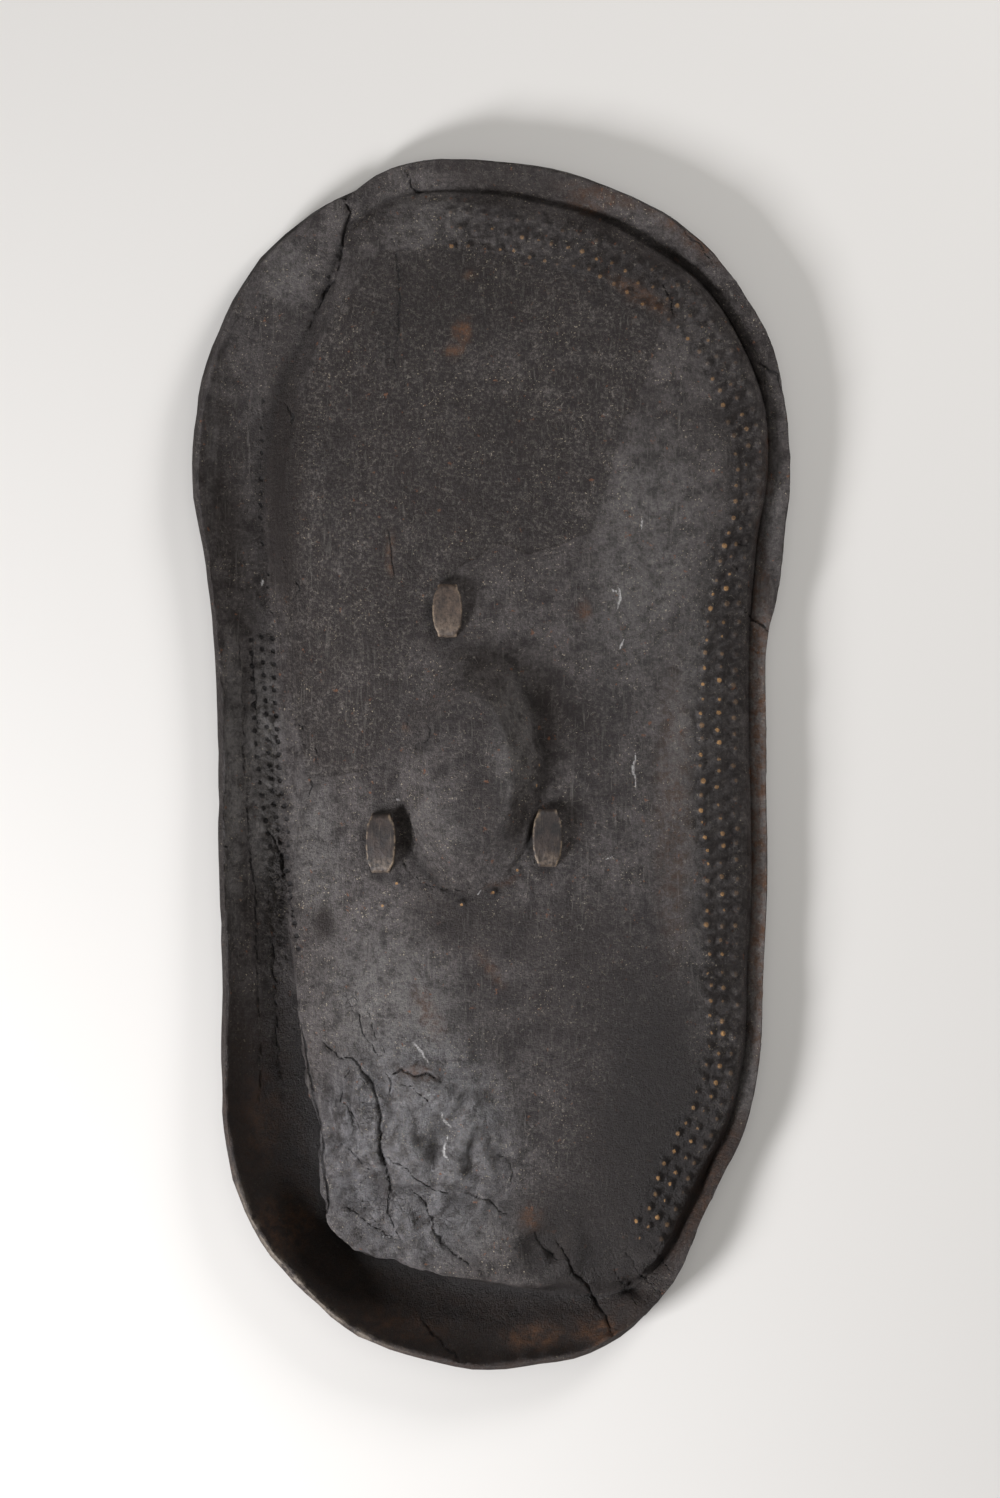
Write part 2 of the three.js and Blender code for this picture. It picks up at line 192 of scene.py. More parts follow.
def moulded_front(turn, ring):
    """The front of the hide: ring 0 to 1 the field, 1 to 2 the wall, 2 to 3 the rim."""
    shoulder = at_turn(shoulder_line, turn)
    groove = at_turn(groove_line, turn)
    edge = at_turn(edge_line, turn)
    ray = shoulder[:, :2] - middle
    length = np.linalg.norm(ray, axis=1)
    foot = boss_foot(ray)
    beyond = (ring - BOSS_RING) / (1 - BOSS_RING)
    radius = np.where(beyond < 0, foot * ring / BOSS_RING, foot + (length - foot) * beyond)
    field = middle + ray * (radius / length)[:, None]
    inner = np.clip(ring, 0, 1)
    dome = (CROWN_HEIGHT - shoulder[:, 2]) * (1 - inner**FULLNESS)
    boss = BOSS_HEIGHT * (1 - smoothstep(0.55, 1, inner / BOSS_RING))
    field_z = shoulder[:, 2] + dome + boss + swell_height(field[:, 0], field[:, 1])

    down = np.clip(ring - 1, 0, 1)[:, None]
    wall = shoulder * (1 - down) + groove * down
    rise = shoulder[:, 2] + swell_height(shoulder[:, 0], shoulder[:, 1])
    wall[:, 2] = rise * (1 - down[:, 0]) ** 1.15

    out = np.clip(ring - 2, 0, 1)[:, None]
    rim = groove * (1 - out) + edge * out
    width = np.linalg.norm(edge[:, :2] - groove[:, :2], axis=1) / UNIT
    rolled = 1 - smoothstep(25, 55, width)
    out = out[:, 0]
    rim[:, 2] = edge[:, 2] * ((1 - rolled) * out**1.7 + rolled * (1 - (1 - out) ** 2.6))

    place = np.where((ring <= 1)[:, None], np.column_stack([field, field_z]), wall)
    return np.where((ring > 2)[:, None], rim, place)


def through_hide(turn, ring):
    """One thickness of hide, at right angles to the front."""
    inner = np.maximum(ring - 0.04, 0.01)
    outer = np.minimum(inner + 0.08, 3)
    beside = np.maximum(ring, 0.02)
    along = moulded_front(turn + 0.003, beside) - moulded_front(turn - 0.003, beside)
    outward = moulded_front(turn, outer) - moulded_front(turn, inner)
    way = np.cross(along, outward)
    way /= np.linalg.norm(way, axis=1)[:, None]
    way[ring < 0.01] = (0, 0, 1)
    return way * HIDE_THICKNESS


BACK_STARTS = 3.15


def place_hide(turn, down_sheet):
    """Front, cut edge and back: 0 to 3, 3 to BACK_STARTS, and on to BACK_STARTS + 3."""
    ring = np.where(down_sheet <= 3, down_sheet, BACK_STARTS + 3 - down_sheet)
    ring = np.clip(ring, 0, 3)
    front = moulded_front(turn, ring)
    through = through_hide(turn, ring)
    leaned = through.copy()
    leaned[:, 2] = 0
    rim = smoothstep(2.8, 3, ring)[:, None]
    front = front + leaned * rim
    across = np.clip((down_sheet - 3) / (BACK_STARTS - 3), 0, 1)[:, None]
    return front - through * across


# Dots punched along the shoulder: distance inside it on the drawing, where each row starts
# and ends as a share of the way round, the start of the first dot, and how worn they are.
DOT_ROWS = [
    (11, 0.0, 0.47, 0.0, 0.2), (28, 0.0, 0.475, 0.5, 0.85), (45, 0.0, 0.478, 0.1, 1.0),
]
DOT_PITCH = 16.6 * UNIT
DOT_RADIUS = 0.0046
DOT_RISE = 0.0021
DOT_MOAT = 0.0006  # the shallow ring pressed in round each dot
DOT_TAN_RADIUS = 0.0045  # how far the tan of a worn tip can reach

# Small pits punched into the left wall, row by row.
PIT_ROWS = [
    [(266, 560), (269, 600), (272, 640), (274, 690), (277, 740), (281, 795), (288, 830),
     (287, 872), (294, 915), (300, 950)],
    [(258, 610), (262, 660), (264, 700), (267, 745), (271, 790), (276, 825), (282, 860)],
    [(250, 640), (252, 690), (254, 740), (258, 775), (263, 810), (270, 850)],
    [(262, 400), (261, 440), (260, 480), (260, 520), (262, 550)],
]
PIT_PITCH = 13 * UNIT
PIT_RADIUS = 0.0023
PIT_DEPTH = 0.0016

# Cracks and creases: depth and half width in millimetres, then the line on the drawing.
CRACKS = [
    (2.6, 1.5, [(325, 1040), (333, 1049), (341, 1055), (352, 1055), (362, 1062), (371, 1076),
                (380, 1100), (382, 1122), (381, 1140), (385, 1160), (391, 1180), (389, 1210),
                (396, 1226), (404, 1238)]),
    (1.6, 1.1, [(383, 1150), (397, 1158), (410, 1163), (418, 1176), (432, 1184), (452, 1190)]),
    (1.4, 1.0, [(372, 1168), (362, 1180), (364, 1200), (376, 1216), (386, 1228)]),
    (1.2, 0.9, [(340, 1140), (352, 1146), (362, 1158), (374, 1168)]),
    (1.2, 0.9, [(352, 1066), (344, 1080), (342, 1096), (350, 1108), (360, 1118), (366, 1136)]),
    (1.7, 1.1, [(460, 1187), (474, 1193), (487, 1196), (498, 1206), (508, 1213)]),
    (1.1, 0.9, [(495, 1150), (508, 1156), (514, 1168), (510, 1184)]),
    (2.0, 1.3, [(412, 1186), (425, 1198), (433, 1220), (442, 1240), (460, 1255), (482, 1271)]),
    (1.6, 1.2, [(346, 1202), (358, 1212), (372, 1222), (386, 1230), (400, 1239)]),
    (1.2, 0.8, [(352, 1004), (360, 1012), (364, 1030), (374, 1044), (387, 1060)]),
    (1.0, 0.7, [(362, 1000), (372, 1016), (376, 1034), (388, 1050)]),
    (1.9, 1.5, [(393, 1072), (404, 1065), (416, 1072), (428, 1070), (440, 1078)]),
    (1.1, 0.9, [(404, 1080), (416, 1084), (427, 1096), (434, 1110)]),
    (1.0, 0.9, [(386, 1066), (392, 1080), (390, 1098)]),
    (2.6, 1.3, [(423, 1322), (429, 1332), (437, 1338), (443, 1348), (455, 1354), (460, 1366)]),
    (3.2, 1.3, [(556, 1240), (566, 1254), (574, 1272), (588, 1286), (592, 1300), (604, 1314),
                (610, 1328), (614, 1344)]),
    (1.3, 1.2, [(534, 1225), (538, 1238), (548, 1252), (562, 1262)]),
    (4.5, 1.5, [(346, 200), (350, 212), (343, 236), (338, 268), (322, 297), (307, 325)]),
    (2.2, 1.2, [(405, 165), (410, 178), (409, 186), (420, 190), (432, 189)]),
    (1.0, 1.2, [(393, 235), (398, 260), (400, 300), (397, 350)]),
    (1.0, 1.0, [(372, 366), (380, 358), (392, 360), (398, 372), (392, 380)]),
    (1.0, 0.9, [(390, 530), (393, 555), (394, 580)]),
    (1.4, 1.0, [(298, 720), (303, 730), (302, 742), (308, 748)]),
    (1.6, 1.2, [(312, 776), (314, 786), (309, 798)]),
    (1.2, 0.9, [(313, 746), (317, 752), (316, 762)]),
    (1.5, 1.0, [(240, 642), (242, 709), (243, 755), (247, 819), (249, 860), (254, 899),
                (257, 984), (259, 1050), (260, 1100)]),
    (1.1, 0.9, [(249, 647), (254, 686), (255, 716), (253, 748)]),
    (1.2, 0.9, [(268, 900), (273, 960), (276, 1040), (284, 1110)]),
    (2.2, 1.8, [(300, 1000), (308, 1060), (319, 1110), (327, 1165), (329, 1210)]),
    (1.3, 1.1, [(219, 837), (224, 846), (231, 847)]),
    (1.6, 1.0, [(263, 820), (272, 838), (281, 862), (288, 890), (293, 915), (300, 945)]),
    (1.4, 1.0, [(404, 860), (410, 870), (418, 877), (430, 884), (450, 889), (466, 888),
                (481, 881), (494, 872)]),
    (1.8, 0.9, [(398, 797), (410, 815), (416, 838), (408, 857), (400, 866)]),
    (2.4, 1.6, [(762, 362), (770, 370), (777, 374), (780, 388)]),
    (2.4, 1.4, [(744, 612), (756, 620), (764, 626), (771, 634)]),
    (1.2, 1.0, [(626, 1250), (636, 1268), (650, 1284), (668, 1300)]),
    (1.1, 0.9, [(612, 1262), (620, 1280), (632, 1296), (642, 1314)]),
    (1.1, 0.9, [(650, 1240), (660, 1262), (676, 1276)]),
    (1.6, 1.2, [(663, 284), (670, 300), (673, 318)]),
    (1.5, 1.3, [(676, 222), (690, 238), (700, 244), (712, 262)]),
    (1.1, 1.0, [(735, 545), (748, 547)]), (1.1, 1.0, [(731, 566), (742, 570)]),
    (1.2, 0.9, [(285, 402), (293, 412), (290, 430)]),
    (1.0, 0.9, [(294, 576), (300, 588), (293, 600)]),
    (1.3, 1.1, [(425, 722), (432, 730), (427, 742)]),
    (1.4, 1.1, [(499, 642), (506, 650), (512, 648)]),
    (1.0, 0.9, [(403, 716), (409, 722), (404, 732)]),
]

# Pale scratches, and painted glints of light on the swell at the lower left, as lines on the
# drawing.
SCRATCHES_AND_GLINTS = [
    [(617, 586), (619, 598), (615, 612)], [(609, 590), (616, 594)], [(640, 519), (641, 531)],
    [(634, 750), (632, 768), (635, 792)], [(604, 858), (614, 854)],
    [(476, 884), (481, 888), (479, 893), (485, 896)], [(414, 1038), (422, 1046), (429, 1060)],
    [(440, 1108), (446, 1120), (452, 1124)], [(448, 1132), (444, 1146), (450, 1158)],
    [(262, 578), (261, 586)], [(398, 798), (402, 802)], [(622, 640), (618, 652)],
]

# Where the thin outer layer of the hide has flaked away: its border on the drawing.
FLAKE_EDGE = [
    (668, 300), (655, 345), (640, 395), (622, 425), (612, 470), (600, 505), (592, 533),
    (560, 545), (530, 555), (500, 545), (475, 560), (440, 580), (415, 640), (400, 700),
    (372, 770), (310, 778), (290, 690), (285, 560), (290, 430), (330, 320), (380, 250),
    (480, 240), (590, 275),
]
FLAKE_STEP = 0.0009


def distance_to_line(points, line, thin_ends=0.0):
    """Distance on the drawing from each point to a line, growing towards thinned ends."""
    nearest = np.full(len(points), 1e9)
    pieces = len(line) - 1
    for i, (start, end) in enumerate(zip(line[:-1], line[1:])):
        a, b = np.array(start, float), np.array(end, float)
        along = np.clip(((points - a) @ (b - a)) / np.dot(b - a, b - a), 0, 1)
        gap = np.linalg.norm(points - a - along[:, None] * (b - a), axis=1)
        middle_share = 1 - np.abs(2 * (i + along) / pieces - 1)
        nearest = np.minimum(nearest, gap * (1 + thin_ends * (1 - middle_share) ** 3))
    return nearest


def inside_line(points, outline):
    inside = np.zeros(len(points), bool)
    for (x1, y1), (x2, y2) in zip(outline, outline[1:] + outline[:1]):
        crosses = (points[:, 1] < y1) != (points[:, 1] < y2)
        if y1 != y2:
            meets = x1 + (points[:, 1] - y1) * (x2 - x1) / (y2 - y1)
            inside ^= crosses & (points[:, 0] < meets)
    return inside


def spaced(line, pitch):
    """Points at an even pitch along a line, all on the drawing."""
    line = np.array(line, float)
    run = np.concatenate([[0], np.cumsum(np.linalg.norm(np.diff(line, axis=0), axis=1))])
    at = np.arange(0, run[-1], pitch / UNIT)
    return np.column_stack([np.interp(at, run, line[:, 0]), np.interp(at, run, line[:, 1])])


random.seed(11)
shoulder_steps = np.linalg.norm(np.roll(shoulder_line, -1, axis=0) - shoulder_line, axis=1)
shoulder_run = np.concatenate([[0], np.cumsum(shoulder_steps)])
dots = []
for inset, start, end, phase, rubbed in DOT_ROWS:
    count = int((end - start) * shoulder_run[-1] / DOT_PITCH)
    for i in range(count):
        along = start * shoulder_run[-1] + (i + phase) * DOT_PITCH
        place = np.interp(along, shoulder_run, np.arange(len(shoulder_run)))
        at = shoulder_line[int(place) % len(shoulder_line), :2]
        inward = (middle - at) / np.linalg.norm(middle - at)
        at = at + inward * inset * UNIT
        x = at[0] / UNIT + SHEET_X + random.uniform(-2, 2)
        y = SHEET_Y - at[1] / UNIT + random.uniform(-2.4, 2.4)
        on_right = smoothstep(560, 660, x) * (0.4 + 0.6 * smoothstep(500, 600, y))
        near_top = 0.5 * (1 - smoothstep(330, 420, y))
        rubbed_here = rubbed * max(on_right, near_top) * random.uniform(0.15, 1.15)
        dots.append((x, y, random.uniform(0.55, 1.1), rubbed_here))
# Single tan dots below and beside the boss.
for x, y in ((517, 869), (493, 891), (462, 903), (398, 882), (384, 904), (535, 785), (538, 765)):
    dots.append((x, y, 0.62, 0.75))
pits = np.concatenate([spaced(row, PIT_PITCH) for row in PIT_ROWS])


def sheet_of(points):
    return np.column_stack([points[:, 0] / UNIT + SHEET_X, SHEET_Y - points[:, 1] / UNIT])


dot_places = np.array([(x, y) for x, y, _, _ in dots])


def nearest_of(points, marks, block=4000):
    """Distance on the drawing to the nearest mark, and which mark that is."""
    distance = np.empty(len(points))
    which = np.empty(len(points), int)
    for i in range(0, len(points), block):
        part = points[i : i + block]
        gaps = np.linalg.norm(part[:, None, :] - marks[None, :, :], axis=2)
        which[i : i + block] = gaps.argmin(axis=1)
        distance[i : i + block] = gaps.min(axis=1)
    return distance, which


# The sheet starts as a flat grid, one way round the rim and the other from the middle of
# the front over the edge to the middle of the back.
front_rows = np.concatenate([
    np.linspace(0, 0.34, 17)[:-1], np.linspace(0.34, 0.9, 26)[:-1], np.linspace(0.9, 1, 7)[:-1],
    np.linspace(1, 2, 7)[:-1], np.linspace(2, 2.86, 9)[:-1], np.linspace(2.86, 3, 4)[:-1],
])
edge_rows = np.array([3, 3.05, 3.1])
back_rows = BACK_STARTS + np.concatenate([
    np.linspace(0, 1, 7)[:-1], np.linspace(1, 2, 5)[:-1], np.linspace(2, 2.66, 15)[:-1],
    np.linspace(2.66, 3, 8),
])
rows = np.concatenate([front_rows, edge_rows, back_rows])
COLUMNS = 180

hide_mesh = bmesh.new()
bmesh.ops.create_grid(hide_mesh, x_segments=COLUMNS, y_segments=len(rows) - 1, size=0.5)
for vert in hide_mesh.verts:
    row = round((vert.co.y + 0.5) * (len(rows) - 1))
    vert.co = ((vert.co.x + 0.5), rows[row], 0)


def sheet_coordinates(mesh):
    flat = np.array([(v.co.x, v.co.y) for v in mesh.verts])
    return flat[:, 0], flat[:, 1]


def cell_size(points, down_sheet):
    """How fine the sheet has to be, in metres, from what is worked into it there."""
    size = np.full(len(points), 0.0062)
    size[down_sheet > BACK_STARTS] = 0.013
    on_front = down_sheet < 3
    near = on_front & (down_sheet > 0.9)
    size[near] = 0.0048
    bulge = np.hypot((points[:, 0] - 425) / 125, (points[:, 1] - 1130) / 165) < 1
    size[on_front & bulge] = 0.0029
    crust = (points[:, 0] > 238) & (points[:, 0] < 305) & (abs(points[:, 1] - 800) < 165)
    size[on_front & crust] = 0.0026
    line_gap = np.full(len(points), 1e9)
    for _, _, line in CRACKS:
        line_gap = np.minimum(line_gap, distance_to_line(points, line))
    for line in SCRATCHES_AND_GLINTS:
        line_gap = np.minimum(line_gap, distance_to_line(points, line))
    size[on_front & (line_gap < 4)] = 0.0017
    from_boss = on_sheet(*points.T).T - middle
    boss_gap = np.abs(np.linalg.norm(from_boss, axis=1) - boss_foot(from_boss + 1e-9))
    size[on_front & (boss_gap < 0.016)] = 0.0031
    flake_gap = distance_to_line(points, FLAKE_EDGE + FLAKE_EDGE[:1])
    size[on_front & (flake_gap < 4)] = 0.003
    dot_gap, _ = nearest_of(points, dot_places)
    size[on_front & (dot_gap < 7.5)] = 0.0018
    return size


# Edges that are too long for what is worked in beside them are cut in two, four times over.
for _ in range(4):
    hide_mesh.verts.ensure_lookup_table()
    hide_mesh.verts.index_update()
    hide_mesh.edges.ensure_lookup_table()
    turn, down_sheet = sheet_coordinates(hide_mesh)
    placed = place_hide(turn, down_sheet)
    ends = np.array([(e.verts[0].index, e.verts[1].index) for e in hide_mesh.edges])
    length = np.linalg.norm(placed[ends[:, 0]] - placed[ends[:, 1]], axis=1)
    centre = sheet_of((placed[ends[:, 0]] + placed[ends[:, 1]]) / 2)
    wanted = cell_size(centre, (down_sheet[ends[:, 0]] + down_sheet[ends[:, 1]]) / 2)
    long_edges = [hide_mesh.edges[i] for i in np.nonzero(length > wanted * 1.45)[0]]
    bmesh.ops.subdivide_edges(hide_mesh, edges=long_edges, cuts=1, use_grid_fill=True)

# Mould the flat grid, close its seam and its two middles, and round the bends a little.
hide_mesh.verts.ensure_lookup_table()
turn, down_sheet = sheet_coordinates(hide_mesh)
placed = place_hide(turn, down_sheet)
on_front = hide_mesh.verts.layers.float.new("front")
for vert, point, down in zip(hide_mesh.verts, placed, down_sheet):
    vert.co = point
    vert[on_front] = down
bmesh.ops.remove_doubles(hide_mesh, verts=hide_mesh.verts, dist=1e-5)
bends = [v for v in hide_mesh.verts if 0.93 < v[on_front] < 2.25]
for _ in range(4):
    bmesh.ops.smooth_vert(
        hide_mesh, verts=bends, factor=0.5, use_axis_x=True, use_axis_y=True, use_axis_z=True
    )

# Everything worked or worn into the front moves the surface in or out along its own slope.
hide_mesh.verts.index_update()
hide_mesh.normal_update()
points = np.array([v.co[:] for v in hide_mesh.verts])
slope = np.array([v.normal[:] for v in hide_mesh.verts])
if slope[np.argmax(points[:, 2]), 2] < 0:
    slope = -slope
down_sheet = np.array([v[on_front] for v in hide_mesh.verts])
front_side = (down_sheet < 3).astype(float)
drawn = sheet_of(points)


def rough(points, size, octaves=3):
    """Even noise between about -1 and 1, with lumps of the given size in metres."""
    return np.array([noise.fractal(Vector(p), 1.0, 2.0, octaves) for p in points / size])


warped = drawn + 2.4 * np.column_stack([rough(points + 1.3, 0.011), rough(points + 5.9, 0.011)])


def patches(marks):
    """Soft patches on the drawing, from x, y, reach x, reach y, lean in degrees, strength."""
    marked = np.zeros(len(drawn))
    for x, y, reach_x, reach_y, lean, strength in marks:
        turned = math.radians(lean)
        right, down = warped[:, 0] - x, warped[:, 1] - y
        across = right * math.cos(turned) + down * math.sin(turned)
        along = down * math.cos(turned) - right * math.sin(turned)
        off = np.hypot(across / reach_x, along / reach_y)
        marked = np.maximum(marked, strength * (1 - smoothstep(0.25, 1, off)))
    return marked


relief = 0.0007 * rough(points, 0.075, 2) + 0.00035 * rough(points + 3.1, 0.014)

dot_gap, which = nearest_of(drawn, dot_places)
strength = np.array([d[2] for d in dots])[which]
gap = dot_gap * UNIT / DOT_RADIUS
dot_shape = np.where(gap < 1, (1 - gap**2) ** 1.4, 0) * strength
relief += DOT_RISE * dot_shape - DOT_MOAT * np.exp(-(((gap - 1.2) / 0.3) ** 2))

pit_gap, _ = nearest_of(drawn, pits)
pit_shape = np.exp(-((pit_gap * UNIT / PIT_RADIUS) ** 2))
# A dried crust stands in lumps along the left wall, with more beside the swell below it.
crust = np.exp(-(((drawn[:, 0] - 270 - 0.09 * (drawn[:, 1] - 800)) / 21) ** 4))
crust = crust * smoothstep(640, 720, drawn[:, 1]) * (1 - smoothstep(900, 965, drawn[:, 1]))
crust = np.maximum(crust, patches([(348, 985, 15, 30, -18, 0.5), (278, 960, 12, 40, 0, 0.6)]))
lumps = np.abs(rough(points + 7.7, 0.008, 3))
relief += -PIT_DEPTH * pit_shape + crust * (0.0056 * lumps - 0.0012)

# Cracks: the nearest one's distance in its own half widths, thinning towards its ends.
crack_gap = np.full(len(points), 9.0)
for depth, half_width, line in CRACKS:
    gap = distance_to_line(warped, line, 1.3) * UNIT * 1000 / half_width
    relief += -0.8 * depth / 1000 * np.exp(-(gap**2)) + 0.0001 * np.exp(-(((gap - 3) / 1.3) ** 2))
    crack_gap = np.minimum(crack_gap, gap)

# The dented, crumpled swell at the lower left: broad folds with sharp creases between them.
FOLD_SIZE = 0.046
FOLD_RISE = 0.0118
SMALL_FOLD_SIZE = 0.017
SMALL_FOLD_RISE = 0.0038
bulge = 1 - smoothstep(0.5, 1.1, np.hypot((drawn[:, 0] - 410) / 115, (drawn[:, 1] - 1150) / 135))
fold_place = points + 0.012 * np.column_stack(
    [rough(points + 4.4, 0.05, 2), rough(points + 8.8, 0.05, 2), np.zeros(len(points))]
)
leaning = fold_place @ np.array([[1.0, 0.35, 0], [-0.35, 0.55, 0], [0, 0, 1]])
folds = np.abs(rough(leaning + 11.3, FOLD_SIZE, 2))
small_folds = np.abs(rough(leaning + 2.2, SMALL_FOLD_SIZE, 3))
crumple = np.maximum(bulge, patches([(560, 1240, 50, 44, 0, 1.0), (645, 1285, 34, 26, 0, 0.7)]))
relief += crumple * (FOLD_RISE * folds - 0.0034 + SMALL_FOLD_RISE * small_folds)

# Fibres run down the left wall.
left_wall = np.exp(-(((drawn[:, 0] - 284) / 22) ** 4)) * (1 - smoothstep(880, 960, drawn[:, 1]))
left_wall *= smoothstep(320, 380, drawn[:, 1])
relief += 0.0011 * left_wall * rough(points * np.array([1, 0.09, 1]), 0.0045, 2)

# The wall under the swell sags in folds, and the broad flange below it is uneven.
sag = smoothstep(940, 1060, drawn[:, 1]) * (1 - smoothstep(560, 640, drawn[:, 0]))
low_wall = sag * smoothstep(0.9, 1.05, down_sheet) * (1 - smoothstep(1.9, 2.1, down_sheet))
relief += 0.0030 * low_wall * rough(points + 9.5, 0.022, 3)
flange = smoothstep(2.05, 2.3, down_sheet)
relief += flange * 0.0013 * rough(points + 6.1, 0.026, 3)

# The boss was beaten over a form: a worked crease runs round its foot, deepest below, with a
# slight roll above it.
BOSS_CREASE = 0.0021
BOSS_ROLL = 0.0013
from_boss = points[:, :2] - middle
boss_gap = (np.linalg.norm(from_boss, axis=1) - boss_foot(from_boss + 1e-9)) / UNIT
boss_gap += 3 * rough(points + 3.7, 0.02, 2)
below = 0.35 + 0.65 * np.maximum(smoothstep(60, 100, drawn[:, 1] - BOSS_Y),
                                 smoothstep(30, 60, drawn[:, 0] - BOSS_X))
relief += below * (BOSS_ROLL * np.exp(-(((boss_gap + 8) / 5) ** 2)))
relief -= below * (BOSS_CREASE * np.exp(-(((boss_gap - 0.5) / 3.4) ** 2)))
near_boss = ((drawn[:, 1] - BOSS_Y) / 150) ** 2 + ((drawn[:, 0] - BOSS_X) / 90) ** 2
relief -= 0.0010 * np.exp(-near_boss)
# Where painted shade will darken the crease round the boss's foot.
boss_foot_shade = below * np.exp(-(((boss_gap - 2) / 5) ** 2))

# Along the right the groove is half filled with dirt and old grease.
GREASE_DEPTH = 0.0045
right_rim = smoothstep(700, 725, drawn[:, 0]) * (down_sheet > 1.2)
relief += right_rim * GREASE_DEPTH * np.exp(-(((down_sheet - 2.2) / 0.3) ** 2))

# Distance from the flaked layer's border, less than zero where the layer is gone.
flake_gap = distance_to_line(warped, FLAKE_EDGE + FLAKE_EDGE[:1])
flake_gap = np.where(inside_line(warped, FLAKE_EDGE), -flake_gap, flake_gap)
relief += FLAKE_STEP * smoothstep(-1.5, 1.5, flake_gap)

points += slope * (relief * front_side)[:, None]
# The cut rim is a little ragged, and it never passes the solid's own outline.
RIM_WEAR = 0.0021
ragged = np.exp(-(((down_sheet - 3.05) / 0.12) ** 2))
uneven = np.clip(0.45 + rough(points, 0.008, 4) + 0.9 * rough(points + 2.7, 0.03, 2), 0, 2)
level = slope * (1, 1, 0)
points -= level * RIM_WEAR * (ragged * uneven)[:, None]
# At the head of the long tear the top rim starts a step lower than the flange beside it.
TEAR_HEAD = (343, 198)
NOTCH_DEPTH = 6 * UNIT
torn = (drawn - TEAR_HEAD) @ (0.78, -0.62)
off_tear = np.abs((drawn - TEAR_HEAD) @ (0.62, 0.78))
notch = np.where(torn > 0, np.exp(-torn / 9), 0) * (1 - smoothstep(4, 24, off_tear))
points += NOTCH_DEPTH * notch[:, None] * (0.62, -0.78, 0)
points = np.clip(points + LIES_AT, cad_box[0], cad_box[1])
for vert, point in zip(hide_mesh.verts, points):
    vert.co = point
bmesh.ops.triangulate(hide_mesh, faces=[f for f in hide_mesh.faces if len(f.verts) > 4])
bmesh.ops.recalc_face_normals(hide_mesh, faces=hide_mesh.faces)
for face in hide_mesh.faces:
    face.smooth = True

hide_data = bpy.data.meshes.new("moulded_hide")
hide_mesh.to_mesh(hide_data)
hide_mesh.free()
hide = bpy.data.objects.new("moulded_hide", hide_data)
bpy.context.scene.collection.objects.link(hide)


def paint(mesh, name, values):
    layer = mesh.attributes.new(name, "FLOAT", "POINT")
    layer.data.foreach_set("value", np.clip(values, 0, 1).astype(np.float32))


worn = np.array([d[3] for d in dots])[which]
# How near a dot's tip is, from 1 at the tip to 0 at its foot.
paint(hide_data, "dot_tip", (1 - dot_gap * UNIT / (DOT_TAN_RADIUS * strength)) * front_side)
paint(hide_data, "worn", worn)
# Where painted shade will darken the ring round each dot's foot.
paint(hide_data, "dot_foot_shade", np.exp(-(((dot_gap * UNIT - 0.0052) / 0.0016) ** 2)) * front_side)

low_left = smoothstep(960, 1110, drawn[:, 1]) * (1 - smoothstep(600, 690, drawn[:, 0]))
# Rust and tan stains.
stained = patches([
    (463, 333, 12, 18, 0, 1.0), (455, 352, 14, 9, 0, 1.0), (467, 278, 9, 7, 0, 0.5),
    (600, 1333, 34, 20, 0, 1.0), (535, 1338, 44, 18, 0, 0.9),
    (391, 555, 6, 28, 0, 0.7), (583, 612, 9, 12, 0, 0.8), (407, 727, 6, 5, 0, 1.0),
    (774, 640, 12, 26, 0, 0.9), (262, 1120, 26, 60, 0, 0.3), (285, 1225, 46, 44, -40, 0.4),
    (400, 1325, 70, 22, 10, 0.25), (490, 965, 34, 7, 48, 0.4), (500, 882, 24, 5, -20, 0.4),
    (770, 460, 8, 60, 0, 0.5), (690, 225, 80, 24, 40, 0.5), (705, 1190, 20, 120, 27, 0.22),
    (600, 195, 60, 12, 15, 0.3), (585, 205, 30, 10, 12, 0.4), (640, 295, 50, 14, 32, 0.5),
    (420, 1070, 26, 10, 10, 0.5), (761, 800, 14, 400, 0, 0.6), (672, 820, 26, 200, 0, 0.22),
    (430, 1010, 16, 40, -25, 0.3), (530, 1215, 16, 20, 0, 0.5),
])
paint(hide_data, "stained", stained * front_side + 0.12 * flange * low_left)

# Painted shade, near black: in the groove (less where the pits are), a painted shadow under the
# swell, and painted contact shadows beside the tabs.
under_swell = sag * smoothstep(1.05, 1.3, down_sheet) * (1 - smoothstep(2.05, 2.4, down_sheet))
beside_pits = ((drawn[:, 0] - 265) / 30) ** 4 + ((drawn[:, 1] - 710) / 230) ** 4
groove_shade = 0.9 - 0.8 * np.exp(-beside_pits)
groove_shade = groove_shade * np.exp(-(((down_sheet - 1.95) / 0.14) ** 2))
inner_groove = np.maximum(groove_shade, under_swell)
painted_shade = np.maximum(inner_groove, 0.4 * boss_foot_shade)
painted_shade = np.maximum(painted_shade, patches([
    (448, 582, 13, 8, 0, 0.9), (448, 642, 13, 8, 0, 0.8), (382, 808, 13, 8, 0, 0.9),
    (382, 876, 15, 8, 0, 0.9), (554, 804, 14, 8, 0, 1.0), (547, 869, 15, 7, 0, 0.9),
    (431, 612, 7, 32, 0, 0.7), (366, 842, 7, 34, 0, 0.8), (529, 840, 7, 32, 0, 0.9),
    (583, 612, 4, 5, 0, 0.6), (500, 648, 7, 5, 0, 0.6), (429, 744, 6, 8, 0, 0.7),
    (408, 722, 5, 8, 0, 0.6), (270, 427, 6, 14, 0, 0.8), (526, 550, 5, 7, 0, 0.5),
]))
